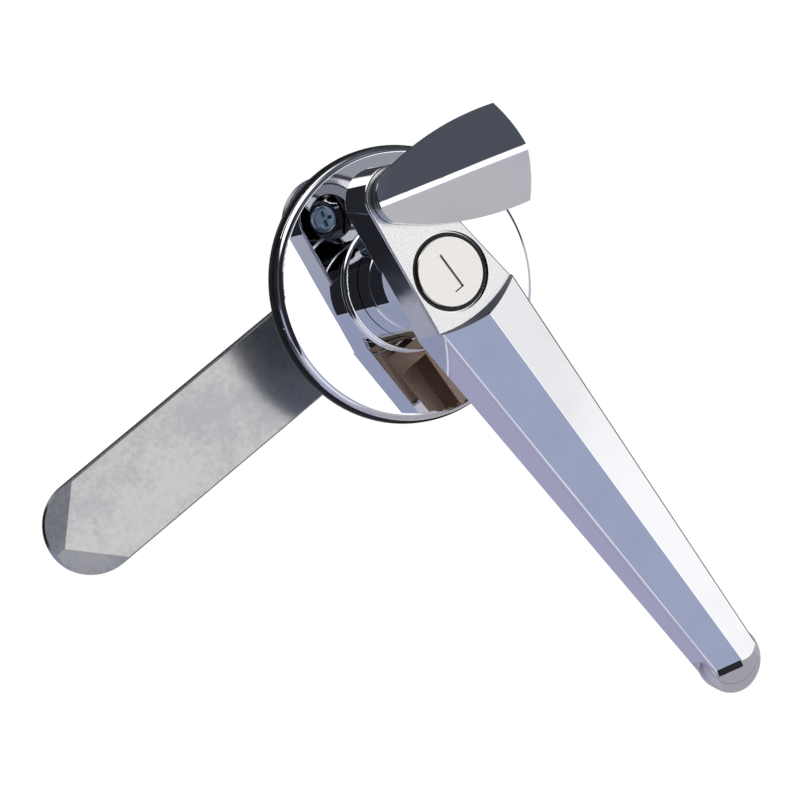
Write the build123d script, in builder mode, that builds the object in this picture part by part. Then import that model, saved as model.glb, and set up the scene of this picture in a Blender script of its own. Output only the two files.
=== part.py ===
from build123d import *
from math import atan2, cos, degrees, radians, sin, sqrt, tan
import os

# Swing handle lock for a cabinet door, in millimetres.
# X runs to the right as seen from the front, Y runs into the door, Z is up.
# The origin is on the spindle axis, in the plane of the door's front face.
# Everything stands in its rest pose: grip down, tongue to the left, unlocked, cover swung open.

# Fits and running gaps
slide_fit = 0.05
swing_gap = 0.30
face_gap = 0.10
thread_gap = 0.05
stop_gap = 0.30
wafer_slot_gap = 0.10

# How far a cut, or the blank that it shapes, runs past the finished piece
overrun = 10.0

# Door plate
plate_radius = 30.5
plate_thickness = 3.4
plate_round = 1.5
gasket_radius = 31.0
gasket_bore_radius = 25.5
gasket_thickness = 1.3
collar_radius = 15.6
collar_height = 1.2
collar_round = 1.0
boss_radius = 13.6
door_grip = 11.0
boss_setback = 1.0
post_radius = 4.0
post_spacing = 37.0

# Fixing plate and its screws
fixing_plate_thickness = 3.0
fixing_lobe_radius = 11.0
fixing_waist_radius = 19.0
fixing_hole_radius = 12.8
fixing_screw_radius = 2.5
fixing_screw_head_radius = 4.6
fixing_screw_head_depth = 2.3
fixing_screw_reach = 8.0
fixing_edge_break = 0.4
fixing_recess_across = 4.4
fixing_recess_width = 1.0
fixing_recess_depth = 1.6
tapping_spare = 1.0

# Neck and journal of the handle
neck_radius = 12.3
journal_radius = 10.0
handle_turn_deg = 90.0
stop_lug_reach = 1.5
stop_lug_height = 3.0
stop_lug_deg = 24.0
stop_lug_centre_deg = 270.0
neck_shoulder = 1.5

# Head of the handle
seat_height = 29.2
rim_height = 18.6
side_draft_deg = 3.5
head_end_radius = 7.2
pivot_height = 20.0
head_half_width = 10.9
head_edge_round = 0.5
head_root = 4.0
head_root_shy = 0.3
cut_radius = 30.8
cut_slope_deg = 15.0

# Grip of the handle
seat_drop = 1.3
roof_rise_head = 2.7
roof_rise_tip = 1.9
grip_half_width_head = 10.8
grip_half_width_tip = 5.95
grip_length = 114.7
tip_length = 8.5
tip_rim_drop = 7.1
tip_lip_drop = 3.1
tip_lip_radius = 7.5
tip_rim_radius = 6.6
tip_lip_bevel = 0.4
tip_fill_shy = 0.4
tip_end_radius = 6.5
tip_end_lean = 4.4
under_stock = 3.0
roof_edge_round = 0.6
ridge_round = 0.25
grip_wall = 2.2
grip_roof_wall = 3.0
grip_rib = 1.6
channel_start = 17.5
channel_end_wall = 12.2
channel_round = 1.5

# Dust cover and its pivot
cover_open_deg = 73.5
cover_edge = 1.0
cover_roof_half_nose = 9.9
cover_roof_half_end = 12.4
cover_half_width = 11.2
cover_waist_half_width = 9.7
cover_waist_run = 10.6
cover_nose_half_width = 4.8
cover_nose_run = 3.5
cover_nose_reach = 5.8
cover_nose_round = 3.0
cover_ridge_round = 4.0
stud_radius = 3.0
pivot_web = 3.8
pivot_pocket_radius = 5.2
pivot_washer_radius = 4.4
pivot_washer_thickness = 0.6
pivot_screw_radius = 1.75
pivot_screw_head_radius = 3.4
pivot_screw_head_height = 2.3
pivot_screw_round = 1.2
pivot_screw_bite = 0.8
pivot_hole_bite = 1.0
pivot_recess_across = 3.6
pivot_recess_width = 0.8
pivot_recess_depth = 1.2
stud_root = 0.5

# Key cylinder
housing_radius = 8.85
housing_front_drop = 0.9
housing_length = 17.0
plug_radius = 6.5
plug_face_radius = 7.8
plug_face_thickness = 1.9
plug_tail = 3.2
plug_edge_break = 0.25
keyway_width = 1.15
keyway_height = 8.5
keyway_hook = 1.3
keyway_end_wall = 1.0
wafer_count = 5
wafer_thickness = 0.9
wafer_pitch = 2.6
wafer_width = 5.2
wafer_window_gap = 0.25
wafer_ear = 0.5
wafer_slot_spare = 1.2
wafer_slot_mouth = 1.5
wafer_first = 4.0
spring_radius = 0.60
spring_wire = 0.14
spring_turns = 3
spring_length = 3.6
spring_side_gap = 0.15
spring_end_gap = 0.7
spring_seat_gap = 0.02
clip_thickness = 0.8
clip_radius = 7.6
clip_groove_depth = 0.9
driver_radius = 5.4
driver_thickness = 1.8
crank_radius = 1.7
crank_pin_radius = 1.1
housing_pin_radius = 1.2
housing_pin_bite = 1.0
housing_pin_shy = 0.4
housing_pin_setback = 4.0

# Locking bolt
bolt_width = 9.0
bolt_thickness = 3.0
bolt_front = 0.0
bolt_tail = 6.5
bolt_shy = 0.20
notch_gap = 0.30
crank_pin_gap = 0.15
crank_end_gap = 0.25
chamber_gap = 1.0

# Spindle, tongue and fastenings behind the door
journal_end = 12.6
thrust_washer_radius = 12.6
thrust_washer_thickness = 0.8
ring_thickness = 1.0
ring_radius = 11.8
ring_groove_depth = 0.8
ring_gap_deg = 40.0
spindle_square = 8.0
spindle_bite = 8.0
spacer_radius = 9.5
tongue_front = 15.0
tongue_thickness = 3.0
tongue_width = 21.6
tongue_reach = 96.0
ramp_point = 2.4
ramp_slope_deg = 12.0
tongue_edge_break = 0.35
spindle_shy = 0.4
cam_washer_radius = 9.0
cam_washer_thickness = 1.5
lock_washer_radius = 5.4
lock_washer_thickness = 1.5
lock_washer_split = 0.6
cam_screw_radius = 3.0
cam_screw_head_across = 10.0
cam_screw_head_height = 4.0
cam_screw_reach = 9.0
cam_screw_crown_deg = 30.0

# Heights worked out from the sizes above, as distances in front of the door
plate_back = gasket_thickness
plate_front = plate_back + plate_thickness
collar_top = plate_front + collar_height
neck_foot = collar_top + swing_gap
journal_bore_radius = journal_radius + slide_fit
roof_edge_height = seat_height + seat_drop
ridge_height_head = roof_edge_height + roof_rise_head
ridge_height_tip = roof_edge_height + roof_rise_tip
tip_lip_height = roof_edge_height - tip_lip_drop
tip_rim_height = roof_edge_height - tip_rim_drop
grip_roof_length = grip_length - tip_length
tip_end_reach = grip_length - tip_end_lean
channel_end = grip_length - channel_end_wall
housing_front = seat_height - housing_front_drop
housing_back = housing_front - housing_length
plug_back = housing_back - plug_tail
driver_back = plug_back - driver_thickness
chamber_floor = driver_back - face_gap
bolt_travel = crank_radius * sqrt(2)
crank_offset = crank_radius / sqrt(2)
tongue_back = tongue_front + tongue_thickness
spindle_end = tongue_back - spindle_shy
draft_ratio = tan(radians(side_draft_deg))
grip_start = pivot_height - sqrt(cut_radius**2 - head_half_width**2)
blank_back = rim_height - under_stock
web_back = seat_height - pivot_web
pin_height = (housing_front + housing_back) / 2 - housing_pin_setback

os.makedirs("parts", exist_ok=True)


def facing(height):
    # A plane parallel to the door, this far in front of it, whose normal points at the viewer.
    return Plane.XZ.offset(height)


def across(z):
    # A level plane at this height, for sections through the grip.
    return Plane.XY.offset(z)


def keep(part, label):
    part.label = label
    export_step(part, f"parts/{label}.step")


def ring_sketch(outer, inner):
    Circle(outer)
    Circle(inner, mode=Mode.SUBTRACT)


# Rubber gasket between the door plate and the door
with BuildPart() as door_gasket:
    with BuildSketch(facing(0)):
        ring_sketch(gasket_radius, gasket_bore_radius)
    extrude(amount=gasket_thickness)
keep(door_gasket.part, "door_gasket")

# Door plate: mirror-flat disc, collar, bearing boss and two tapped posts in one casting
post_places = [(0, -post_spacing / 2), (0, post_spacing / 2)]
with BuildPart() as door_plate:
    with BuildSketch(facing(plate_back)):
        Circle(plate_radius)
    extrude(amount=plate_thickness)
    front_rim = door_plate.edges().filter_by(GeomType.CIRCLE).sort_by(Axis.Y)[0]
    fillet(front_rim, radius=plate_round)
    with BuildSketch(facing(plate_front)):
        Circle(collar_radius)
    extrude(amount=collar_height)
    collar_rim = door_plate.edges().filter_by(GeomType.CIRCLE).sort_by(Axis.Y)[0]
    fillet(collar_rim, radius=collar_round)
    with BuildSketch(facing(plate_back)):
        Circle(boss_radius)
    extrude(amount=-(plate_back + door_grip - boss_setback))
    with BuildSketch(facing(plate_back)):
        with Locations(*post_places):
            Circle(post_radius)
    extrude(amount=-(plate_back + door_grip))
    with BuildSketch(facing(-door_grip)):
        with Locations(*post_places):
            Circle(fixing_screw_radius)
    extrude(amount=fixing_screw_reach + tapping_spare, mode=Mode.SUBTRACT)
    with BuildSketch(facing(collar_top)):
        Circle(journal_bore_radius)
    extrude(amount=-(collar_top + door_grip), mode=Mode.SUBTRACT)
    # Arc pocket in which the stop lug travels through the quarter turn
    pocket_radius = journal_radius + stop_lug_reach + swing_gap
    pocket_floor = neck_foot - stop_lug_height - swing_gap
    gap_deg = degrees(stop_gap / journal_radius)
    pocket_start = stop_lug_centre_deg - stop_lug_deg / 2 - gap_deg
    pocket_sweep = stop_lug_deg + handle_turn_deg + 2 * gap_deg
    with BuildSketch(facing(pocket_floor)):
        with BuildLine():
            pocket_arc = CenterArc((0, 0), pocket_radius, pocket_start, pocket_sweep)
            Line((0, 0), pocket_arc @ 0)
            Line(pocket_arc @ 1, (0, 0))
        make_face()
    extrude(amount=collar_top - pocket_floor, mode=Mode.SUBTRACT)
    # One notch for the locking bolt at each end of the quarter turn
    notch_depth = journal_radius - bolt_shy + bolt_travel + notch_gap
    with BuildSketch(facing(notch_gap - bolt_front)):
        Rectangle(bolt_width + 2 * notch_gap, notch_depth, align=(Align.CENTER, Align.MIN))
        Rectangle(notch_depth, bolt_width + 2 * notch_gap, align=(Align.MAX, Align.CENTER))
    extrude(amount=-(bolt_thickness + 2 * notch_gap), mode=Mode.SUBTRACT)
keep(door_plate.part, "door_plate")

# Steel fixing plate that clamps the door from behind
countersink_deg = degrees(atan2(fixing_screw_head_radius - fixing_screw_radius, fixing_screw_head_depth))
with BuildPart() as fixing_plate:
    with BuildSketch(facing(-door_grip)):
        with BuildSketch(Plane.XY, mode=Mode.PRIVATE) as hull_circles:
            Circle(fixing_waist_radius)
            with Locations(*post_places):
                Circle(fixing_lobe_radius)
        make_hull(hull_circles.edges())
        Circle(fixing_hole_radius, mode=Mode.SUBTRACT)
    extrude(amount=-fixing_plate_thickness)
    rear_edges = fixing_plate.edges().group_by(Axis.Y)[-1]
    chamfer(rear_edges, length=fixing_edge_break)
    with BuildSketch(facing(-door_grip)):
        with Locations(*post_places):
            Circle(fixing_screw_radius + thread_gap)
    extrude(amount=-fixing_plate_thickness, mode=Mode.SUBTRACT)
    with BuildSketch(facing(-door_grip - fixing_plate_thickness)):
        with Locations(*post_places):
            Circle(fixing_screw_head_radius + face_gap)
    extrude(amount=fixing_screw_head_depth, taper=countersink_deg, mode=Mode.SUBTRACT)
keep(fixing_plate.part, "fixing_plate")

# Two countersunk screws, flush with the fixing plate and tapped into the posts
screw_back = door_grip + fixing_plate_thickness
with BuildPart() as fixing_screws:
    with BuildSketch(facing(-screw_back)):
        with Locations(*post_places):
            Circle(fixing_screw_head_radius)
    extrude(amount=fixing_screw_head_depth, taper=countersink_deg)
    with BuildSketch(facing(-screw_back)):
        with Locations(*post_places):
            Circle(fixing_screw_radius - thread_gap)
    extrude(amount=fixing_plate_thickness + fixing_screw_reach)
    with BuildSketch(facing(-screw_back)):
        with Locations(*post_places):
            Rectangle(fixing_recess_across, fixing_recess_width)
            Rectangle(fixing_recess_width, fixing_recess_across)
    extrude(amount=fixing_recess_depth, mode=Mode.SUBTRACT)
keep(fixing_screws.part, "fixing_screws")


def grip_half_width(z):
    # Half width of the grip at its roof edge, which tapers evenly down to the tip.
    run = (z + grip_roof_length) / (grip_start + grip_roof_length)
    return grip_half_width_tip + (grip_half_width_head - grip_half_width_tip) * run


def grip_section(z, low):
    # Roofed section with drafted side walls, drawn on a level plane.
    width = grip_half_width(z)
    run = (z + grip_roof_length) / (grip_start + grip_roof_length)
    ridge = ridge_height_tip + (ridge_height_head - ridge_height_tip) * run
    foot = width + draft_ratio * (roof_edge_height - low)
    return [
        (-foot, -low), (-width, -roof_edge_height), (0, -ridge),
        (width, -roof_edge_height), (foot, -low),
    ]


def tip_circle(height, end_radius):
    # Centre and radius of the rounded end, which swells from the rim to the lip and leans back to the roof.
    if height < tip_lip_height:
        share = (tip_lip_height - height) / (tip_lip_height - tip_rim_height)
        return grip_length - tip_lip_radius, tip_lip_radius + (tip_rim_radius - tip_lip_radius) * share
    share = (height - tip_lip_height) / (roof_edge_height - tip_lip_height)
    radius = tip_lip_radius + (end_radius - tip_lip_radius) * share
    reach = grip_length + (tip_end_reach - grip_length) * share
    return reach - radius, radius


# Handle: head, roofed grip, neck and journal in one zinc casting
with BuildPart() as handle:
    # Leaf-shaped head under the dust cover, whose foot runs on inside the grip
    with BuildSketch(facing(seat_height)):
        with BuildSketch(Plane.XY, mode=Mode.PRIVATE) as head_hull:
            with Locations((0, pivot_height)):
                Circle(head_end_radius)
            foot_width = 2 * (grip_half_width(grip_start - head_root) - head_root_shy)
            with Locations((0, grip_start)):
                Rectangle(2 * head_half_width, slide_fit)
            with Locations((0, grip_start - head_root)):
                Rectangle(foot_width, slide_fit)
        make_hull(head_hull.edges())
    extrude(amount=rim_height - seat_height, taper=-side_draft_deg)
    head_edges = handle.faces().filter_by(Axis.Y).edges()
    fillet(head_edges.filter_by_position(Axis.Z, grip_start, 2 * seat_height), radius=head_edge_round)
    # Roofed grip
    for z in (grip_start, -grip_length - overrun):
        with BuildSketch(across(z)):
            Polygon(*grip_section(z, blank_back), align=None)
    loft(ruled=True)
    roof_edges = handle.edges().filter_by(lambda edge: abs((edge @ 0.5).Y + roof_edge_height) < slide_fit)
    fillet(roof_edges.filter_by(lambda edge: edge.length > grip_length), radius=roof_edge_round)
    ridge_edges = handle.edges().filter_by(lambda edge: abs((edge @ 0.5).X) < slide_fit)
    fillet(ridge_edges.sort_by(Axis.Y)[0], radius=ridge_round)
    # Underside line, which rises evenly from the head to the tip
    with BuildSketch(Plane.YZ):
        Polygon(
            (-rim_height, 0), (-rim_height, grip_start), (-tip_rim_height, -grip_roof_length),
            (-tip_rim_height, -2 * grip_length), (0, -2 * grip_length), (0, 0), align=None,
        )
    extrude(amount=2 * grip_half_width_head, both=True, mode=Mode.SUBTRACT)
    # Rounded end that leans back from the roof
    head_top = pivot_height + head_end_radius + overrun
    lip_heights = (tip_lip_height - tip_lip_bevel, tip_lip_height + tip_lip_bevel)
    for height in (blank_back, *lip_heights, ridge_height_head):
        centre, radius = tip_circle(height, tip_end_radius)
        with BuildSketch(facing(height)):
            with BuildLine():
                CenterArc((0, -centre), radius, 180, 180)
                Polyline(
                    (radius, -centre), (2 * head_half_width, 0), (2 * head_half_width, head_top),
                    (-2 * head_half_width, head_top), (-2 * head_half_width, 0), (-radius, -centre),
                )
            make_face()
    loft(ruled=True, mode=Mode.INTERSECT)
    # Bevelled lip that the rounded end spreads into
    for height in (tip_rim_height, *lip_heights, roof_edge_height - roof_edge_round):
        centre, radius = tip_circle(height, grip_half_width_tip - tip_fill_shy)
        with BuildSketch(facing(height)):
            with Locations((0, -centre)):
                Circle(radius)
    loft(ruled=True)
    # Round cut that clears the swing of the cover
    with BuildSketch(facing(seat_height)):
        with Locations((0, pivot_height)):
            Circle(cut_radius)
    extrude(amount=overrun, taper=-cut_slope_deg, mode=Mode.SUBTRACT)
    # Cast channel in the underside with a rib down the middle
    with BuildSketch(facing(blank_back)):
        channel_points = []
        for side, z in ((-1, -channel_start), (-1, -channel_end), (1, -channel_end), (1, -channel_start)):
            draft = draft_ratio * (roof_edge_height - blank_back)
            channel_points.append((side * (grip_half_width(z) - grip_wall + draft), z))
        Polygon(*channel_points, align=None)
        fillet(vertices(), radius=channel_round)
        Rectangle(grip_rib, 2 * channel_end + overrun, mode=Mode.SUBTRACT)
    extrude(amount=roof_edge_height - grip_roof_wall - blank_back, taper=side_draft_deg, mode=Mode.SUBTRACT)
    # Neck and journal
    with BuildSketch(facing(neck_foot)):
        Circle(neck_radius)
    extrude(amount=rim_height + neck_shoulder - neck_foot)
    with BuildSketch(facing(-journal_end)):
        Circle(journal_radius)
    extrude(amount=journal_end + rim_height)
    with BuildSketch(facing(neck_foot - stop_lug_height)):
        with BuildLine():
            lug_radius = journal_radius + stop_lug_reach
            lug_arc = CenterArc((0, 0), lug_radius, stop_lug_centre_deg - stop_lug_deg / 2, stop_lug_deg)
            Line((0, 0), lug_arc @ 0)
            Line(lug_arc @ 1, (0, 0))
        make_face()
    extrude(amount=stop_lug_height)
    # Groove for the retaining ring
    ring_front = -(door_grip - boss_setback) - thrust_washer_thickness - 2 * face_gap
    with BuildSketch(facing(ring_front + face_gap / 2)):
        ring_sketch(journal_radius + ring_groove_depth, journal_radius - ring_groove_depth)
    extrude(amount=-(ring_thickness + face_gap), mode=Mode.SUBTRACT)
    # Bore for the key cylinder, crank chamber and slide for the locking bolt
    with BuildSketch(facing(seat_height)):
        Circle(housing_radius + slide_fit)
    extrude(amount=-(seat_height - chamber_floor), mode=Mode.SUBTRACT)
    chamber_radius = crank_radius + crank_pin_radius + chamber_gap
    with BuildSketch(facing(chamber_floor)):
        Circle(chamber_radius)
    extrude(amount=-(chamber_floor - bolt_front), mode=Mode.SUBTRACT)
    with BuildSketch(facing(bolt_front + slide_fit)):
        with Locations((0, -bolt_tail - face_gap)):
            Rectangle(bolt_width + 2 * slide_fit, 2 * neck_radius, align=(Align.CENTER, Align.MIN))
    extrude(amount=-(bolt_thickness + 2 * slide_fit), mode=Mode.SUBTRACT)
    # Square socket for the spindle
    with BuildSketch(facing(-journal_end)):
        Rectangle(spindle_square + 2 * slide_fit, spindle_square + 2 * slide_fit)
    extrude(amount=spindle_bite, mode=Mode.SUBTRACT)
    # Pivot hole of the cover with its pocket under the head
    with BuildSketch(facing(seat_height)):
        with Locations((0, pivot_height)):
            Circle(stud_radius + slide_fit)
    extrude(amount=-(seat_height - rim_height), mode=Mode.SUBTRACT)
    with BuildSketch(facing(rim_height)):
        with Locations((0, pivot_height)):
            Circle(pivot_pocket_radius)
    extrude(amount=web_back - rim_height, mode=Mode.SUBTRACT)
    # Cross hole for the pin that holds the key cylinder
    with BuildSketch(across(-neck_radius - overrun)):
        with Locations((0, -pin_height)):
            Circle(housing_pin_radius + slide_fit)
    extrude(amount=overrun + neck_radius - housing_radius + housing_pin_bite, mode=Mode.SUBTRACT)
keep(handle.part, "handle")

# Dust cover, drawn about its pivot and swung open
open_angle = radians(cover_open_deg)
cover_across = Vector(cos(open_angle), 0, sin(open_angle))
cover_along = Vector(sin(open_angle), 0, -cos(open_angle))
cover_under = seat_height + swing_gap


def cover_plane(height):
    # Parallel to the door, centred on the pivot, with its second axis pointing back past the pivot.
    return Plane(origin=(0, -height, pivot_height), x_dir=cover_across, z_dir=(0, -1, 0))


def cover_section_plane(run):
    # Square to the cover's long axis, this far from the pivot.
    place = Vector(0, 0, pivot_height) + cover_along * run
    return Plane(origin=place, x_dir=cover_across, z_dir=-cover_along)


cover_reach = cut_radius - swing_gap
cover_start = -head_end_radius - overrun
cover_stop = cover_reach + overrun
stud_end = web_back - face_gap
with BuildPart() as dust_cover:
    for run in (cover_start, cover_stop):
        share = (run + head_end_radius) / (cover_reach + head_end_radius)
        half = cover_roof_half_nose + (cover_roof_half_end - cover_roof_half_nose) * share
        with BuildSketch(cover_section_plane(run)):
            Polygon(
                (-half, -cover_under), (-half, -cover_under - cover_edge), (0, -ridge_height_head),
                (half, -cover_under - cover_edge), (half, -cover_under), align=None,
            )
            ridge_point = vertices().sort_by(Axis.Y)[0]
            fillet(ridge_point, radius=cover_ridge_round)
    loft(ruled=True)
    with BuildSketch(cover_plane(cover_under)):
        with BuildLine():
            nose_left = (-cover_nose_half_width, cover_nose_run)
            nose_right = (cover_nose_half_width, cover_nose_run)
            ThreePointArc(nose_left, (0, cover_nose_reach), nose_right)
            right_side = ThreePointArc(
                nose_right, (cover_waist_half_width, -cover_waist_run), (cover_half_width, -cover_reach)
            )
            left_side = ThreePointArc(
                nose_left, (-cover_waist_half_width, -cover_waist_run), (-cover_half_width, -cover_reach)
            )
            Polyline(
                right_side @ 1, (cover_half_width, -cover_stop),
                (-cover_half_width, -cover_stop), left_side @ 1,
            )
        make_face()
        fillet(vertices().group_by(Axis.Y)[-1], radius=cover_nose_round)
    extrude(amount=overrun, mode=Mode.INTERSECT)
    with BuildSketch(cover_plane(cover_under)):
        Circle(cover_reach)
    extrude(amount=overrun, taper=-cut_slope_deg, mode=Mode.INTERSECT)
    with BuildSketch(cover_plane(stud_end)):
        Circle(stud_radius)
    extrude(amount=cover_under - stud_end + stud_root)
    with BuildSketch(cover_plane(stud_end)):
        Circle(pivot_screw_radius + thread_gap)
    extrude(amount=cover_under - stud_end + pivot_hole_bite, mode=Mode.SUBTRACT)
keep(dust_cover.part, "dust_cover")

# Spring washer under the head of the pivot screw
with BuildPart() as pivot_washer:
    with BuildSketch(cover_plane(stud_end)):
        ring_sketch(pivot_washer_radius, pivot_screw_radius + thread_gap)
    extrude(amount=-pivot_washer_thickness)
keep(pivot_washer.part, "pivot_washer")

# Pan-head screw that carries the cover
pivot_head_front = stud_end - pivot_washer_thickness
with BuildPart() as pivot_screw:
    with BuildSketch(cover_plane(pivot_head_front)):
        Circle(pivot_screw_head_radius)
    extrude(amount=-pivot_screw_head_height)
    head_rim = pivot_screw.edges().filter_by(GeomType.CIRCLE).sort_by(Axis.Y)[-1]
    fillet(head_rim, radius=pivot_screw_round)
    with BuildSketch(cover_plane(pivot_head_front - pivot_screw_head_height)):
        Rectangle(pivot_recess_across, pivot_recess_width)
        Rectangle(pivot_recess_width, pivot_recess_across)
    extrude(amount=pivot_recess_depth, mode=Mode.SUBTRACT)
    with BuildSketch(cover_plane(pivot_head_front)):
        Circle(pivot_screw_radius)
    extrude(amount=cover_under - pivot_head_front + pivot_screw_bite)
keep(pivot_screw.part, "pivot_screw")

# Housing sleeve of the key cylinder
with BuildPart() as cylinder_housing:
    with BuildSketch(facing(housing_back)):
        ring_sketch(housing_radius, plug_radius + slide_fit)
    extrude(amount=housing_length)
    with BuildSketch(facing(seat_height - plug_face_thickness - face_gap)):
        Circle(plug_face_radius + slide_fit)
    extrude(amount=plug_face_thickness, mode=Mode.SUBTRACT)
    with BuildSketch(facing(housing_back)):
        Rectangle(wafer_width, 2 * (plug_radius + wafer_slot_spare))
    extrude(amount=housing_length - plug_face_thickness - wafer_slot_mouth, mode=Mode.SUBTRACT)
    with BuildSketch(across(-housing_radius)):
        with Locations((0, -pin_height)):
            Circle(housing_pin_radius + slide_fit)
    extrude(amount=housing_pin_bite, mode=Mode.SUBTRACT)
keep(cylinder_housing.part, "cylinder_housing")

# Pin through the neck that holds the housing
with BuildPart() as housing_pin:
    with BuildSketch(across(-neck_radius + housing_pin_shy)):
        with Locations((0, -pin_height)):
            Circle(housing_pin_radius)
    extrude(amount=neck_radius - housing_radius - housing_pin_shy + housing_pin_bite - face_gap)
keep(housing_pin.part, "housing_pin")


def wafer_height(index):
    return seat_height - wafer_first - index * wafer_pitch


def keyway():
    Rectangle(keyway_width, keyway_height)
    with Locations((-keyway_width / 2, -keyway_height / 2)):
        Rectangle(keyway_hook, keyway_width, align=(Align.MAX, Align.MIN))


# Plug with its face flange, keyway and wafer slots
spring_x = wafer_width / 2 + spring_radius + spring_side_gap
pocket_width = 2 * (spring_radius + spring_side_gap)
with BuildPart() as cylinder_plug:
    with BuildSketch(facing(plug_back)):
        Circle(plug_radius)
    extrude(amount=seat_height - plug_back)
    with BuildSketch(facing(seat_height - plug_face_thickness)):
        Circle(plug_face_radius)
    extrude(amount=plug_face_thickness)
    face_rim = cylinder_plug.edges().filter_by(GeomType.CIRCLE).sort_by(Axis.Y)[0]
    chamfer(face_rim, length=plug_edge_break)
    with BuildSketch(facing(seat_height)):
        keyway()
    extrude(amount=-(seat_height - housing_back - keyway_end_wall), mode=Mode.SUBTRACT)
    for index in range(wafer_count):
        with BuildSketch(facing(wafer_height(index) - wafer_thickness - wafer_slot_gap / 2)):
            Rectangle(wafer_width + wafer_slot_gap, 4 * plug_radius)
        extrude(amount=wafer_thickness + wafer_slot_gap, mode=Mode.SUBTRACT)
        with BuildSketch(facing(wafer_height(index) - wafer_thickness / 2)):
            with Locations((wafer_width / 2, 0)):
                Rectangle(pocket_width, spring_length + 2 * spring_end_gap, align=(Align.MIN, Align.CENTER))
        extrude(amount=spring_radius + wafer_slot_gap / 2, both=True, mode=Mode.SUBTRACT)
    with BuildSketch(facing(housing_back - face_gap - clip_thickness - slide_fit)):
        ring_sketch(plug_radius + clip_groove_depth, plug_radius - clip_groove_depth)
    extrude(amount=clip_thickness + 2 * slide_fit, mode=Mode.SUBTRACT)
keep(cylinder_plug.part, "cylinder_plug")

# Wafers, shown lined up with the plug as when the key is in
with BuildPart() as wafers:
    for index in range(wafer_count):
        with BuildSketch(facing(wafer_height(index) - wafer_thickness)):
            Circle(plug_radius - face_gap)
            Rectangle(wafer_width, 2 * plug_radius, mode=Mode.INTERSECT)
            ear_top = -spring_length / 2
            with Locations((wafer_width / 2, ear_top)):
                ear_reach = spring_x + spring_radius - wafer_width / 2
                Rectangle(ear_reach, wafer_ear, align=(Align.MIN, Align.MAX))
            window_width = keyway_width + 2 * wafer_window_gap
            Rectangle(window_width, keyway_height + 2 * wafer_window_gap, mode=Mode.SUBTRACT)
        extrude(amount=wafer_thickness)
keep(wafers.part, "wafers")

# One small coil spring of square wire on the ear of each wafer
with BuildPart() as wafer_springs:
    for index in range(wafer_count):
        spring_height = wafer_height(index) - wafer_thickness / 2
        spring_foot = ear_top + spring_wire + spring_seat_gap
        coil_length = spring_length - 2 * spring_wire
        coil_radius = spring_radius - spring_wire
        spring_centre = (spring_x, -spring_height, spring_foot)
        with BuildLine() as coil_path:
            Helix(coil_length / spring_turns, coil_length, coil_radius, center=spring_centre)
        with BuildSketch(Plane(origin=coil_path.line @ 0, z_dir=coil_path.line % 0)):
            Rectangle(2 * spring_wire, 2 * spring_wire)
        sweep(path=coil_path.line, is_frenet=True)
keep(wafer_springs.part, "wafer_springs")

# Open clip that keeps the plug in its housing
clip_front = housing_back - face_gap
with BuildPart() as plug_clip:
    with BuildSketch(facing(clip_front - clip_thickness)):
        ring_sketch(clip_radius, plug_radius - clip_groove_depth + slide_fit)
        Rectangle(plug_radius, 2 * clip_radius, align=(Align.CENTER, Align.MIN), mode=Mode.SUBTRACT)
    extrude(amount=clip_thickness)
keep(plug_clip.part, "plug_clip")

# Crank on the tail of the plug, whose pin shifts the bolt
crank_place = (crank_offset, -crank_offset)
bolt_back = bolt_front - bolt_thickness
with BuildPart() as plug_crank:
    with BuildSketch(facing(driver_back)):
        Circle(driver_radius)
    extrude(amount=driver_thickness)
    with BuildSketch(facing(driver_back)):
        with Locations(crank_place):
            Circle(crank_pin_radius)
    extrude(amount=-(driver_back - bolt_back - face_gap))
keep(plug_crank.part, "plug_crank")

# Locking bolt with the cross slot for the crank pin
with BuildPart() as locking_bolt:
    with BuildSketch(facing(bolt_back)):
        Circle(journal_radius - bolt_shy)
        with Locations((0, -bolt_tail)):
            Rectangle(bolt_width, 2 * neck_radius, align=(Align.CENTER, Align.MIN), mode=Mode.INTERSECT)
        with Locations((0, -crank_offset)):
            slot_length = 2 * (crank_radius + crank_pin_radius + crank_end_gap)
            SlotOverall(slot_length, 2 * (crank_pin_radius + crank_pin_gap), mode=Mode.SUBTRACT)
    extrude(amount=bolt_thickness)
keep(locking_bolt.part, "locking_bolt")

# Thrust washer between the boss and the retaining ring
washer_front = -(door_grip - boss_setback) - face_gap
with BuildPart() as thrust_washer:
    with BuildSketch(facing(washer_front)):
        ring_sketch(thrust_washer_radius, journal_bore_radius)
    extrude(amount=-thrust_washer_thickness)
keep(thrust_washer.part, "thrust_washer")

# Retaining ring sprung into the groove of the journal
with BuildPart() as retaining_ring:
    with BuildSketch(facing(ring_front)):
        ring_sketch(ring_radius, journal_radius - ring_groove_depth + slide_fit)
        with BuildLine():
            ring_opening = CenterArc((0, 0), 2 * ring_radius, 90 - ring_gap_deg / 2, ring_gap_deg)
            Line((0, 0), ring_opening @ 0)
            Line(ring_opening @ 1, (0, 0))
        make_face(mode=Mode.SUBTRACT)
    extrude(amount=-ring_thickness)
keep(retaining_ring.part, "retaining_ring")

# Square steel spindle, tapped at its rear end
with BuildPart() as spindle:
    with BuildSketch(facing(-spindle_end)):
        Rectangle(spindle_square, spindle_square)
    extrude(amount=spindle_end - journal_end + spindle_bite - face_gap)
    with BuildSketch(facing(-spindle_end)):
        Circle(cam_screw_radius)
    extrude(amount=cam_screw_reach + tapping_spare, mode=Mode.SUBTRACT)
keep(spindle.part, "spindle")

# Spacer with a square bore between journal and tongue
with BuildPart() as tongue_spacer:
    with BuildSketch(facing(-tongue_front)):
        Circle(spacer_radius)
        Rectangle(spindle_square + 2 * slide_fit, spindle_square + 2 * slide_fit, mode=Mode.SUBTRACT)
    extrude(amount=tongue_front - journal_end)
keep(tongue_spacer.part, "tongue_spacer")

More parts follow.
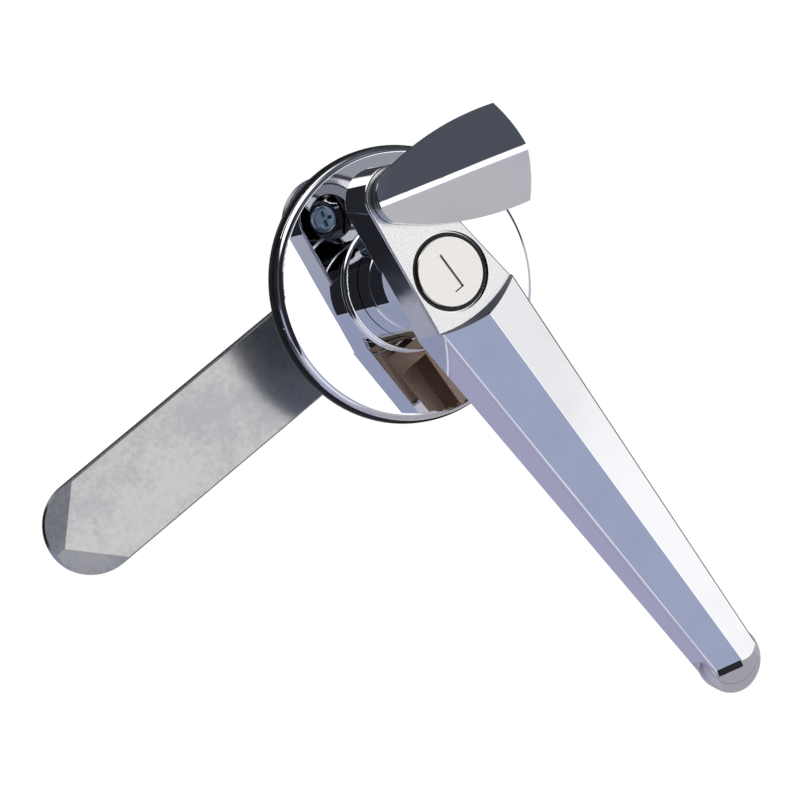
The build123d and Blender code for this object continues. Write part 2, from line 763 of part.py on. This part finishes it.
# Flat steel tongue with a rounded end and a square hole
with BuildPart() as tongue:
    with BuildSketch(facing(-tongue_back)):
        tongue_run = tongue_reach - tongue_width / 2
        with Locations((-tongue_run / 2, 0)):
            SlotCenterToCenter(tongue_run, tongue_width)
        Rectangle(spindle_square + 2 * slide_fit, spindle_square + 2 * slide_fit, mode=Mode.SUBTRACT)
    extrude(amount=tongue_thickness)
    tongue_rim = tongue.faces().sort_by(Axis.Y)[0].outer_wire().edges()
    chamfer(tongue_rim, length=tongue_edge_break)
    # Two shallow ramps that meet in a point before the end
    ramp_fall = sin(radians(ramp_slope_deg)) / sqrt(2)
    for side in (-1, 1):
        ramp_face = Plane(
            origin=(ramp_point - tongue_reach, tongue_front, 0), x_dir=(1, 0, side),
            z_dir=(-ramp_fall, -cos(radians(ramp_slope_deg)), side * ramp_fall),
        )
        with BuildSketch(ramp_face):
            Rectangle(2 * tongue_reach, 2 * tongue_width)
        extrude(amount=tongue_thickness, mode=Mode.SUBTRACT)
keep(tongue.part, "tongue")

# Flat washer, lock washer and hexagon screw that hold the tongue
with BuildPart() as cam_washer:
    with BuildSketch(facing(-tongue_back)):
        ring_sketch(cam_washer_radius, cam_screw_radius + 2 * slide_fit)
    extrude(amount=-cam_washer_thickness)
keep(cam_washer.part, "cam_washer")

lock_washer_front = tongue_back + cam_washer_thickness
with BuildPart() as lock_washer:
    with BuildSketch(facing(-lock_washer_front)):
        ring_sketch(lock_washer_radius, cam_screw_radius + 2 * slide_fit)
        with Locations((0, lock_washer_radius)):
            Rectangle(lock_washer_split, 2 * lock_washer_radius, mode=Mode.SUBTRACT)
    extrude(amount=-lock_washer_thickness)
keep(lock_washer.part, "lock_washer")

cam_head_front = lock_washer_front + lock_washer_thickness
with BuildPart() as cam_screw:
    with BuildSketch(facing(-cam_head_front)):
        RegularPolygon(cam_screw_head_across / 2, 6, major_radius=False)
    extrude(amount=-cam_screw_head_height)
    with BuildSketch(facing(-cam_head_front - cam_screw_head_height)):
        Circle(cam_screw_head_across / 2)
    extrude(amount=cam_screw_head_height, taper=-cam_screw_crown_deg, mode=Mode.INTERSECT)
    with BuildSketch(facing(-cam_head_front)):
        Circle(cam_screw_radius - thread_gap)
    extrude(amount=cam_head_front - spindle_end + cam_screw_reach)
keep(cam_screw.part, "cam_screw")
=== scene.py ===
from math import cos, radians, sin

import bpy
from mathutils import Matrix, Vector


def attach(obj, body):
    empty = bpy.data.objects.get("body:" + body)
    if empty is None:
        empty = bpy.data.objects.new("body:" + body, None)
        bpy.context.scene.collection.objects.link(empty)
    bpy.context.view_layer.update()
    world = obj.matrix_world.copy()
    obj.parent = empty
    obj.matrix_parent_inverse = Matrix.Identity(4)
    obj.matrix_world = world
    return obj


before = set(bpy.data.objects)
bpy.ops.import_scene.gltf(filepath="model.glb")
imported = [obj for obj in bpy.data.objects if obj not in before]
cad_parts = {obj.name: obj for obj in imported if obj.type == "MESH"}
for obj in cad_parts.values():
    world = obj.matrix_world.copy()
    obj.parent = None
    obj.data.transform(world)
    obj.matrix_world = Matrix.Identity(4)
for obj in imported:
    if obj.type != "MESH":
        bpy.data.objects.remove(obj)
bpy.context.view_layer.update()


# Door gasket: a flat ring of black rubber between the door plate and the door, punched from sheet.
# The clamped plate and the gasket's own grey adhesive back hold it. Its edge shows as a matt black
# line round the disc.
class Wire:
    """An output of a shader node. Sums, products and comparisons of wires add Math nodes."""

    def __init__(self, tree, socket):
        self.tree, self.socket = tree, socket

    def feed(self, node, inputs):
        # Links the wires among the inputs and sets the plain values.
        for name, value in inputs.items():
            if isinstance(value, Wire):
                self.tree.links.new(value.socket, node.inputs[name])
            else:
                node.inputs[name].default_value = value

    def node(self, kind, settings, inputs, out=0):
        # Any node of the same tree: its settings first, then the values or wires of its inputs.
        made = self.tree.nodes.new("ShaderNode" + kind)
        for name, value in settings.items():
            setattr(made, name, value)
        self.feed(made, inputs)
        return Wire(self.tree, made.outputs[out])

    def maths(self, operation, *others):
        return self.node("Math", {"operation": operation}, dict(enumerate((self, *others))))

    def __add__(self, other):
        return self.maths("ADD", other)

    def __mul__(self, other):
        return self.maths("MULTIPLY", other)

    def __sub__(self, other):
        return self.maths("SUBTRACT", other)

    def __rsub__(self, other):
        return self.node("Math", {"operation": "SUBTRACT"}, {0: other, 1: self})

    def __lt__(self, other):
        return self.maths("LESS_THAN", other)

    def __gt__(self, other):
        return self.maths("GREATER_THAN", other)

    def __abs__(self):
        return self.maths("ABSOLUTE")

    __radd__ = __add__
    __rmul__ = __mul__

    def rise(self, low, high):
        # 0 below low, 1 above high, with a soft step between them.
        return self.node("MapRange", {"interpolation_type": "SMOOTHSTEP"},
                         {"Value": self, "From Min": low, "From Max": high})

    def tint(self, first, second):
        # The first colour where this wire is 0, the second where it is 1.
        return self.node("Mix", {"data_type": "RGBA"}, {0: self, 6: first, 7: second}, out=2)

    def apart(self):
        # The x, y and z of a place or a direction.
        split = self.node("SeparateXYZ", {}, {0: self})
        return [Wire(self.tree, socket) for socket in split.socket.node.outputs]

    def grain(self, scale, detail=2.0, stretch=(1.0, 1.0, 1.0)):
        # Noise on the piece, with features of about 1 / scale metres.
        place = self.node("Mapping", {}, {"Vector": self, "Scale": stretch})
        return self.node("TexNoise", {}, {"Vector": place, "Scale": scale, "Detail": detail})

    def bump(self, strength, height):
        return self.node("Bump", {}, {"Height": self, "Strength": strength, "Distance": height})


def new_finish(name):
    # A material and the wire of its Object coordinates, in metres.
    material = bpy.data.materials.new(name)
    material.use_nodes = True
    tree = material.node_tree
    return material, Wire(tree, tree.nodes.new("ShaderNodeTexCoord").outputs["Object"])


def coat(place, **values):
    # Sets or links the inputs of the material's surface shader.
    inputs = {name.replace("_", " "): value for name, value in values.items()}
    place.feed(place.tree.nodes["Principled BSDF"], inputs)


def dress(material, *nodes):
    for name in nodes:
        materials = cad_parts[name].data.materials
        materials.clear()
        materials.append(material)


rubber, place = new_finish("gasket rubber")
y = place.apart()[1]
back_face = -0.0001
adhesive_back = y > back_face
dusty = place.grain(260.0, detail=4.0).rise(0.45, 0.75)
black = dusty.tint((0.012, 0.012, 0.013, 1), (0.035, 0.034, 0.033, 1))
adhesive_grey = (0.62, 0.66, 0.72, 1)
coat(place, Base_Color=adhesive_back.tint(black, adhesive_grey),
     Roughness=dusty * 0.2 + 0.5, Specular_IOR_Level=0.4,
     Normal=place.grain(2600.0).bump(0.25, 0.00008))
dress(rubber, "door_gasket")


# Door plate: a zinc casting with a mirror-polished, chromed front, a rolled rim and a raised collar
# round the neck of the handle. Its bearing boss and two tapped posts reach through the door and
# take the fixing plate. They and its back are dull zinc.
def plating(place, tone):
    # Chrome plating on a polished casting, and the bloom that dulls it in patches.
    bloom = place.grain(90.0, detail=4.0).rise(0.42, 0.8)
    return bloom.tint((*tone, 1), (*(0.95 * part for part in tone), 1)), bloom


plate_chrome, place = new_finish("mirror chrome")
x, y, z = place.apart()
chromed, bloom = plating(place, (0.80, 0.80, 0.82))
dull_from, dull_radius = -0.0014, 0.0288
dull_back = (y > dull_from) * (x * x + z * z < dull_radius ** 2)
dull_zinc = (0.66, 0.70, 0.76, 1)
coat(place, Base_Color=dull_back.tint(chromed, dull_zinc), Metallic=1.0,
     Roughness=bloom * 0.02 + dull_back * 0.5 + 0.015,
     Normal=place.grain(140.0, detail=1.0).bump(0.05, 0.00012))
dress(plate_chrome, "door_plate")


# Fixing plate, thrust washer, spindle, spacer, plug crank and locking bolt: steel, cut and pressed,
# with a bright zinc plating that shows faint crystals. The fixing plate is screwed to the posts and
# clamps the lock to the door. The others sit in and behind the handle's neck.
zinc, place = new_finish("bright zinc")
crystals = place.node("TexVoronoi", {"feature": "F1"}, {"Vector": place, "Scale": 420.0}, out=1)
crystals = crystals.node("RGBToBW", {}, {0: crystals})
cloud = place.grain(120.0, detail=4.0)
coat(place, Base_Color=crystals.tint((0.50, 0.53, 0.57, 1), (0.68, 0.70, 0.74, 1)), Metallic=1.0,
     Roughness=cloud * 0.25 + 0.22, Normal=(cloud + crystals * 0.3).bump(0.12, 0.0002))
dress(zinc, "fixing_plate", "plug_crank", "locking_bolt", "thrust_washer", "spindle",
      "tongue_spacer")


# Handle: one zinc casting, polished and chromed outside. Its seat under the cover keeps the fine
# hammered skin of the mould, and the channel under the grip is brownish and dull. The bore round
# the key cylinder is painted near black: painted shade of the deep, narrow gap round the plug.
casting_chrome, place = new_finish("casting chrome")
x, y, z = place.apart()
seat_depth, seat_margin = -0.0292, 0.00012
on_seat = abs(y - seat_depth) < seat_margin

# The channel narrows towards the tip and towards the front, from its half width at one known place.
known_half_width, known_y, known_z = 0.00385, -0.0305, -0.1062
growth_upwards, growth_backwards = 0.0498, 0.0612
channel_half_width = ((z - known_z) * growth_upwards + (y - known_y) * growth_backwards
                      + known_half_width)
channel_front, channel_top, channel_tip = -0.0290, -0.013, -0.106
in_channel = ((abs(x) < channel_half_width) * (y > channel_front)
              * (z < channel_top) * (z > channel_tip))

bore_radius, bore_mouth, bore_floor = 0.0089, -0.02905, -0.0190
in_bore = (x * x + z * z < bore_radius ** 2) * (y > bore_mouth) * (y < bore_floor)

skin = place.grain(1500.0, detail=3.0)
pits = place.grain(2600.0, detail=4.0)

# The bevelled lip on the two sides of the grip's end is matt.
lip_top, lip_front, lip_inside = -0.1028, -0.0292, 0.0058
on_lip = (z < lip_top) * (y > lip_front) * (abs(x) > lip_inside)

chromed, bloom = plating(place, (0.79, 0.79, 0.81))
speckled = pits.rise(0.38, 0.62).tint((0.57, 0.57, 0.58, 1), (0.66, 0.66, 0.66, 1))
# Painted shade: the bore's walls are near black for the shade in the gap round the plug.
painted_bore_shade = (0.02, 0.02, 0.02, 1)
chromed = in_bore.tint(on_seat.tint(chromed, speckled), painted_bore_shade)
channel_brown = pits.tint((0.38, 0.27, 0.18, 1), (0.60, 0.48, 0.38, 1))
relief = place.grain(140.0, detail=1.0) * 0.06 + on_seat * skin * 0.12 + in_channel * pits * 0.6
gloss, seat_matt, channel_matt, bore_shade_matt, lip_matt = 0.02, 0.23, 0.4, 0.4, 0.5
coat(place, Base_Color=in_channel.tint(chromed, channel_brown), Metallic=1.0,
     Roughness=(bloom * 0.02 + gloss + on_seat * seat_matt + in_channel * channel_matt
                + in_bore * bore_shade_matt + on_lip * lip_matt),
     Normal=relief.bump(0.5, 0.0002))
dress(casting_chrome, "handle")


# Tip mark: a short, thin black bar across the end of the grip's left roof, laid square to the roof
# and just proud of it, its edges broken. Its black is painted reflection, the dark reflection seen
# there.
mark_middle = Vector((-0.0031075, -0.031395, -0.10739))
along = Vector((0.928, -0.294, -0.229)).normalized()
outward = Vector((-0.3045, -0.9525, -0.011))
outward = (outward - outward.dot(along) * along).normalized()
lie = Matrix((along, outward.cross(along), outward)).transposed()
mark_length, mark_width, mark_depth = 0.00580, 0.00155, 0.0006
proud, broken_edge = 0.00007, 0.0001

bpy.ops.object.select_all(action="DESELECT")
bpy.ops.mesh.primitive_cube_add(
    size=1.0, location=mark_middle + (proud - mark_depth / 2) * outward,
    rotation=lie.to_euler(), scale=(mark_length, mark_width, mark_depth))
painted_reflection_bar = bpy.context.object
painted_reflection_bar.name = "tip_painted_reflection"
bpy.ops.object.transform_apply(location=True, rotation=True, scale=True)
bevel = painted_reflection_bar.modifiers.new("broken edges", "BEVEL")
bevel.width, bevel.segments = broken_edge, 2
bpy.ops.object.modifier_apply(modifier=bevel.name)
# Painted reflection: the bar takes the black of the gasket rubber.
painted_reflection_bar.data.materials.append(rubber)
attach(painted_reflection_bar, "handle")


# Key cylinder: a turned brass plug in a sleeve, both nickel-plated, held by a pin through the neck.
# The plug has a light satin face. The sleeve stands back in the bore of the head. Its front end,
# within the narrow ring round the plug, is painted black: painted shade of the deep gap there.
nickel, place = new_finish("satin nickel")
fine = place.grain(5200.0, detail=3.0, stretch=(1.0, 1.0, 0.08))
coat(place, Base_Color=(0.60, 0.58, 0.56, 1), Metallic=1.0,
     Roughness=fine * 0.10 + 0.16, Normal=fine.bump(0.04, 0.0001))
dress(nickel, "cylinder_plug")

sleeve, place = new_finish("sleeve with painted shade ring")
x, y, z = place.apart()
# Painted shade: near black and not metallic on the sleeve's front end, for the shade in the gap.
ring_shade_front, ring_radius = -0.0268, 0.0086
painted_ring_shade = (y < ring_shade_front) * (x * x + z * z < ring_radius ** 2)
coat(place, Base_Color=painted_ring_shade.tint((0.74, 0.72, 0.70, 1), (0.015, 0.015, 0.015, 1)),
     Metallic=1.0 - painted_ring_shade, Roughness=painted_ring_shade * 0.3 + 0.2)
dress(sleeve, "cylinder_housing")


# Keyway shutter: a small nickel-plated flap just inside the slot, which keeps dust out and gives
# way to the key. Only its front shows, so it is a thin plate with the slot's hooked outline.
flap_front, flap_thickness = -0.0285, 0.0005
slot_width, slot_height = 0.00105, 0.0084
hook_top, hook_reach = -0.00315, 0.00125
broken_edge = 0.00008

bpy.ops.object.select_all(action="DESELECT")
bpy.ops.mesh.primitive_cube_add(size=1.0, location=(0, flap_front + flap_thickness / 2, 0),
                                scale=(slot_width, flap_thickness, slot_height))
flap = bpy.context.object
flap.name = "keyway_shutter"
bpy.ops.object.transform_apply(location=True, rotation=True, scale=True)
bpy.ops.object.mode_set(mode="EDIT")
bpy.ops.mesh.select_all(action="SELECT")
bpy.ops.mesh.bisect(plane_co=(0, 0, hook_top), plane_no=(0, 0, 1))
bpy.ops.object.mode_set(mode="OBJECT")
for face in flap.data.polygons:
    face.select = face.normal.x < -0.9 and face.center.z < hook_top
for edge in flap.data.edges:
    edge.select = False
for vertex in flap.data.vertices:
    vertex.select = False
bpy.ops.object.mode_set(mode="EDIT")
bpy.ops.mesh.select_mode(type="FACE")
bpy.ops.mesh.extrude_region_move(TRANSFORM_OT_translate={"value": (-hook_reach, 0, 0)})
bpy.ops.mesh.select_mode(type="EDGE")
bpy.ops.object.mode_set(mode="OBJECT")
bevel = flap.modifiers.new("broken edges", "BEVEL")
bevel.width, bevel.segments = broken_edge, 2
bpy.ops.object.modifier_apply(modifier=bevel.name)
flap.data.materials.append(nickel)
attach(flap, "plug")


# Wafers: five thin plates that the key lines up, stamped from brass sheet. They stand one behind
# the other in the slots of the plug, and each slides on its own small spring.
brass, place = new_finish("stamped brass")
cloud = place.grain(500.0, detail=3.0)
coat(place, Base_Color=cloud.tint((0.60, 0.40, 0.15, 1), (0.82, 0.62, 0.30, 1)), Metallic=1.0,
     Roughness=cloud * 0.2 + 0.2, Normal=place.grain(3000.0).bump(0.1, 0.0001))
dress(brass, "wafers")


# Springs, clip, pin, ring and spring washers: hardened spring steel, stamped or wound from wire,
# oiled and dark. They snap into grooves, are pressed in, or are held down by a screw.
spring, place = new_finish("spring steel")
cloud = place.grain(700.0, detail=3.0)
coat(place, Base_Color=cloud.tint((0.16, 0.16, 0.17, 1), (0.32, 0.31, 0.31, 1)), Metallic=1.0,
     Roughness=cloud * 0.2 + 0.25)
dress(spring, "pivot_washer", "housing_pin", "wafer_springs", "plug_clip", "retaining_ring",
      "lock_washer")


# Dust cover: a small cast zinc lid, polished and chromed all over. It swings on its screw at the
# top of the head, closes over the key plug, and stays where a spring washer holds it.
cover_chrome, place = new_finish("cover chrome")
chromed, bloom = plating(place, (0.78, 0.78, 0.80))
coat(place, Base_Color=chromed, Metallic=1.0, Roughness=bloom * 0.03 + 0.05,
     Normal=place.grain(140.0, detail=1.0).bump(0.08, 0.00012))
dress(cover_chrome, "dust_cover")


# Screws and the cam washer: turned steel with a blue-white zinc plating. The screws hold the cover
# on the head, the fixing plate on the posts, and the tongue on the spindle.
screw, place = new_finish("blue zinc")
cloud = place.grain(500.0, detail=3.0)
coat(place, Base_Color=cloud.tint((0.34, 0.50, 0.64, 1), (0.50, 0.66, 0.80, 1)), Metallic=1.0,
     Roughness=cloud * 0.15 + 0.22, Normal=place.grain(2400.0).bump(0.06, 0.0001))
dress(screw, "pivot_screw", "fixing_screws", "cam_washer", "cam_screw")


# Tongue: a strip of 3 mm steel, sheared, rounded at its end and satin zinc-plated in a drum, so
# that its face is cloudy and finely scratched. It sits on the square of the spindle.
tongue_zinc, place = new_finish("satin zinc")
cloud = place.grain(55.0, detail=5.0)
speck = place.grain(900.0, detail=3.0)
brushed = place.grain(1400.0, detail=3.0, stretch=(0.06, 1.0, 1.0))
tone = (cloud * 0.7 + speck * 0.3).rise(0.38, 0.62)
coat(place, Base_Color=tone.tint((0.325, 0.33, 0.345, 1), (0.44, 0.435, 0.43, 1)), Metallic=1.0,
     Roughness=cloud * 0.16 + 0.14, Normal=(brushed + speck * 0.5).bump(0.08, 0.0001))
dress(tongue_zinc, "tongue")


# Studio: a plain pale round floor below the part, and one soft light all round it, brighter and
# darker by direction as the boards and cloths of a small photo table are. The camera sees plain
# white behind the part.
floor_level, floor_radius = -0.35, 0.45
fade_start, fade_end = 0.25, 0.44
bpy.ops.object.select_all(action="DESELECT")
bpy.ops.mesh.primitive_circle_add(vertices=96, radius=floor_radius, fill_type="NGON",
                                  location=(0, 0, floor_level))
floor = bpy.context.object
floor.name = "floor"
floor_paint, place = new_finish("floor paint")
from_middle = place.node("VectorMath", {"operation": "LENGTH"}, {0: place}, out="Value")
coat(place, Base_Color=(0.80, 0.79, 0.84, 1), Roughness=0.9)
clear = place.node("BsdfTransparent", {}, {})
paint = Wire(place.tree, place.tree.nodes["Principled BSDF"].outputs[0])
fading = {0: from_middle.rise(fade_start, fade_end), 1: paint, 2: clear}
place.feed(place.tree.nodes["Material Output"], {"Surface": place.node("MixShader", {}, fading)})
floor.data.materials.append(floor_paint)

world = bpy.data.worlds.new("studio")
bpy.context.scene.world = world
world.use_nodes = True
tree = world.node_tree
ray = Wire(tree, tree.nodes.new("ShaderNodeTexCoord").outputs["Generated"])
x, y, z = ray.apart()
degrees_per_radian = 57.2958
turn = x.maths("ARCTAN2", 0.0 - y) * degrees_per_radian
lift = z.maths("ARCSINE") * degrees_per_radian

# Each board, in degrees: its sides as turns from straight out of the door (-Y) towards its right
# (X), its foot and head as lifts, and its soft edge. Then its colour. A later board stands before
# an earlier one, and a turn of 300 reaches round to the back.
pale_all_round = (0.55, 0.56, 0.64)
boards = (
    ((-300, 300), (2, 56), 3, (0.085, 0.095, 0.12)),         # dark walls above the table
    ((-75, 6), (-3.2, 56), 0.15, (0.02, 0.022, 0.028)),      # black cloth, front left
    ((-8, 9), (2, 15), 2, (0.50, 0.53, 0.60)),               # small pale card on the cloth
    ((30, 44), (19, 33), 2, (0.30, 0.32, 0.36)),             # small grey card, front right
    ((-300, 300), (62, 100), 8, (2.3, 2.3, 2.3)),            # soft light overhead
    ((40, 95), (56, 80), 3, (0.10, 0.11, 0.13)),             # dark flag under the light, right
    ((-300, -95), (-60, -3), 4, (0.42, 0.42, 0.60)),         # bluish table, back left
    ((128, 300), (-60, -3), 4, (0.75, 0.75, 0.80)),          # pale table, back right
    ((135, 190), (-9.5, -2), 1, (0.45, 0.46, 0.52)),         # its grey far edge
    ((-300, -110), (-3, 56), 3, (0.02, 0.022, 0.026)),       # black wall, back left
    ((-132, -90), (-6, 24), 3, (0.42, 0.42, 0.60)),          # bluish card, left
    ((128, 300), (-3, 56), 3, (0.05, 0.052, 0.06)),          # black wall, back right
    ((164, 300), (19, 34), 2, (1.4, 1.4, 1.4)),              # bright strip on that wall
    ((-31, -1), (-38, -4), 1.5, (0.41, 0.46, 0.64)),         # blue-grey card, low in front
    ((-62, -32), (-40, -6), 1.5, (0.95, 0.96, 1.06)),        # white card, low front left
    ((-1, 60), (-26, 3), 2, (1.45, 1.45, 1.45)),             # bright card, low front right
    ((50, 62), (-26, 3), 4, (1.20, 1.20, 1.21)),             # its dimmer right end
    ((44, 66), (-13.2, 3), 1.2, (1.02, 1.02, 1.03)),         # its dimmer upper corner
    ((66, 122), (-21, 40), 2, (0.05, 0.055, 0.06)),          # black cloth, right
    ((-30, 60), (-60, -30), 4, (0.58, 0.58, 0.60)),          # grey table in front
)
light = (*pale_all_round, 1)
for (left, right), (foot, head), soft, colour in boards:
    in_turn = turn.rise(left - soft, left + soft) * (1 - turn.rise(right - soft, right + soft))
    on_board = (in_turn * lift.rise(foot - soft, foot + soft)
                * (1 - lift.rise(head - soft, head + soft)))
    light = on_board.tint(light, (*colour, 1))
seen = Wire(tree, tree.nodes.new("ShaderNodeLightPath").outputs["Is Camera Ray"])
plain_white = (1.0, 1.0, 1.0, 1)
ray.feed(tree.nodes["Background"], {"Color": seen.tint(light, plain_white), "Strength": 1.0})
bpy.context.scene.view_settings.view_transform = "Standard"


# Camera at the photo's angle: turned to the left of the part, a little above it, and rolled. Its
# long lens and its place are the ones that fit the outlines in the photo.
camera_turn, camera_lift, camera_roll = radians(-20.43), radians(10.49), radians(-36.54)
camera_distance = 0.956
aim = Vector((-0.01609, 0.0, -0.02004))
back = Vector((sin(camera_turn) * cos(camera_lift),
               -cos(camera_turn) * cos(camera_lift),
               sin(camera_lift)))
level_right = Vector((cos(camera_turn), sin(camera_turn), 0.0))
level_up = back.cross(level_right)
right = cos(camera_roll) * level_right + sin(camera_roll) * level_up
up = cos(camera_roll) * level_up - sin(camera_roll) * level_right
sensor_width, focal_length = 36.0, 194.36
lens = bpy.data.cameras.new("camera")
lens.sensor_width, lens.lens = sensor_width, focal_length
camera = bpy.data.objects.new("camera", lens)
bpy.context.scene.collection.objects.link(camera)
turned = Matrix((right, up, back)).transposed().to_4x4()
camera.matrix_world = Matrix.Translation(aim + camera_distance * back) @ turned
bpy.context.scene.camera = camera
